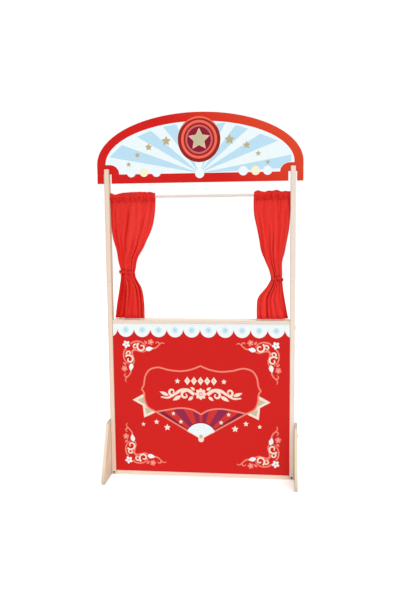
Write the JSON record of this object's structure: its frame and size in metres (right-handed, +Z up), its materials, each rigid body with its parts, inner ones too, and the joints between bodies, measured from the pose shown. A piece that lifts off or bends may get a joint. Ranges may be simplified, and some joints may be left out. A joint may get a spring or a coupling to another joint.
{
  "type": "puppet theatre",
  "caption": "Free-standing wooden toy puppet theatre: printed front panel, stage shelf, cloth curtains that slide on a rod and an arched header board that lifts off.",
  "frame": {"origin": "on the ground, midway between the two feet and under the middle of the posts' depth", "axes": "+Z up, -Y toward the audience, +X to the audience's right"},
  "size_m": [0.66, 0.2236, 1.193],
  "materials": {
    "post_wood": "pale softwood, clear satin",
    "foot_wood": "pale plywood, clear satin",
    "dowel_wood": "plain softwood",
    "printed_board": "printed satin lacquer on board",
    "red_cloth": "plain woven cloth",
    "zinc_steel": "zinc plated",
    "insert_brass": "plain"
  },
  "bodies": {
    "frame": {"lower_post_left": "post_wood", "lower_post_right": "post_wood", "upper_post_left": "post_wood", "upper_post_right": "post_wood", "post_dowels": "dowel_wood", "front_panel": "printed_board", "bottom_rail": "post_wood", "rail_screws": "zinc_steel", "stage_shelf": "post_wood", "shelf_rail": "dowel_wood", "rail_bolts": "zinc_steel", "barrel_nuts": "zinc_steel", "shelf_screws": "zinc_steel", "foot_left": "foot_wood", "foot_right": "foot_wood", "foot_bolts": "zinc_steel", "foot_inserts": "insert_brass", "curtain_rod": "dowel_wood"},
    "header": {"header_board": "printed_board"},
    "left_curtain": {"curtain_left": "red_cloth", "tieback_left": "red_cloth"},
    "right_curtain": {"curtain_right": "red_cloth", "tieback_right": "red_cloth"}
  },
  "joints": [
    {"name": "header_lift", "type": "slide", "parent": "frame", "child": "header", "axis": [0, 0, 1], "range_m": [0, 0.06]},
    {"name": "left_curtain_slide", "type": "slide", "parent": "frame", "child": "left_curtain", "axis": [1, 0, 0], "range_m": [0, 0.15]},
    {"name": "right_curtain_slide", "type": "slide", "parent": "frame", "child": "right_curtain", "axis": [-1, 0, 0], "range_m": [0, 0.15]}
  ]
}
